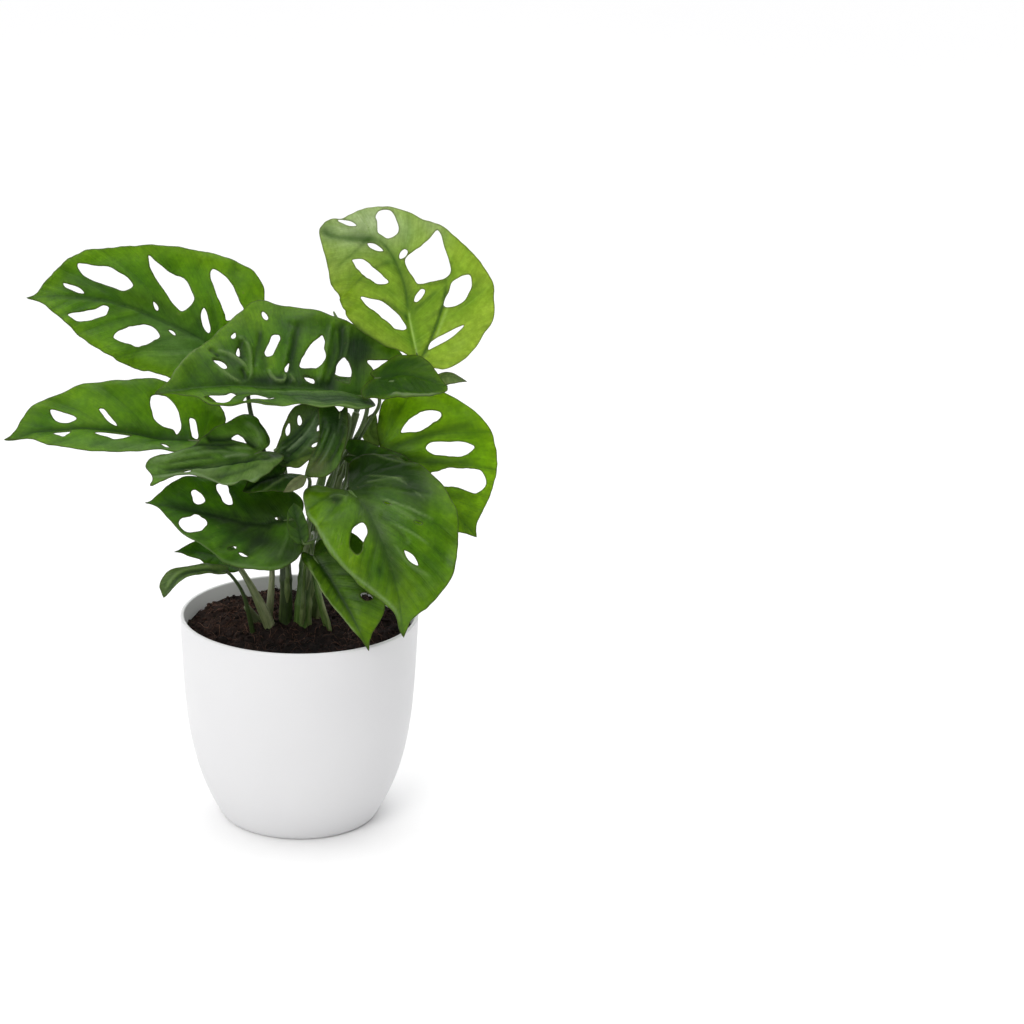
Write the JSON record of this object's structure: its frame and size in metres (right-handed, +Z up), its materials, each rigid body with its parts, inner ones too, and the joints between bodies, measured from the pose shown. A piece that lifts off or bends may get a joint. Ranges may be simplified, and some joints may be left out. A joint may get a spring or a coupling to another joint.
{
  "type": "potted monstera adansonii",
  "caption": "Young Swiss cheese vine with windowed, pointed leaves on thin petioles, growing from dark soil in a plain round tapered pot.",
  "frame": {"origin": "centre of the pot's flat base, on the floor", "axes": "+Z up along the pot's axis, -Y towards the plant's front, +X to the plant's right as seen from the front"},
  "size_m": [0.2831, 0.1404, 0.361],
  "materials": {
    "pot": "smooth matte white",
    "soil": "loose dark peat with fibres",
    "stalk": "satin olive green",
    "leaf": "satin green with sunken veins",
    "leaf_dark": "satin deep green",
    "leaf_bright": "satin yellow green, thin enough to glow",
    "leaf_pale": "dull pale green",
    "leaf_old": "dull brownish green"
  },
  "bodies": {
    "root": {"pot": "pot", "soil": "soil", "stem_left": "stalk", "stem_middle": "stalk", "stem_right": "stalk", "petiole_upper_left": "stalk", "petiole_left": "stalk", "petiole_centre": "stalk", "petiole_top_right": "stalk", "petiole_right_small": "stalk", "petiole_right_tiny": "stalk", "petiole_right": "stalk", "petiole_right_pale": "stalk", "petiole_right_hidden": "stalk", "petiole_front_right": "stalk", "petiole_bottom_right": "stalk", "petiole_lower_left": "stalk", "petiole_lower_left_back": "stalk", "petiole_curled": "stalk", "petiole_centre_back": "stalk", "petiole_hanging": "stalk", "petiole_under_curled": "stalk", "petiole_old_flap": "stalk", "petiole_small_upright": "stalk", "petiole_behind_centre": "stalk", "petiole_bottom_left": "stalk", "leaf_upper_left": "leaf", "leaf_left": "leaf", "leaf_centre": "leaf_dark", "leaf_top_right": "leaf_bright", "leaf_right_small": "leaf_dark", "leaf_right_tiny": "leaf_pale", "leaf_right": "leaf_bright", "leaf_right_pale": "leaf_pale", "leaf_right_hidden": "leaf_dark", "leaf_front_right": "leaf", "leaf_lower_left": "leaf_dark", "leaf_lower_left_back": "leaf_dark", "leaf_curled": "leaf_dark", "leaf_centre_back": "leaf_dark", "leaf_hanging": "leaf_dark", "leaf_under_curled": "leaf_dark", "leaf_old_flap": "leaf_old", "leaf_small_upright": "leaf_pale", "leaf_behind_centre": "leaf_pale", "leaf_bottom_left": "leaf_pale", "leaf_bottom_right": "leaf_dark", "leaf_new_roll": "leaf_pale", "stub_old_petiole": "leaf_old"}
  },
  "joints": []
}
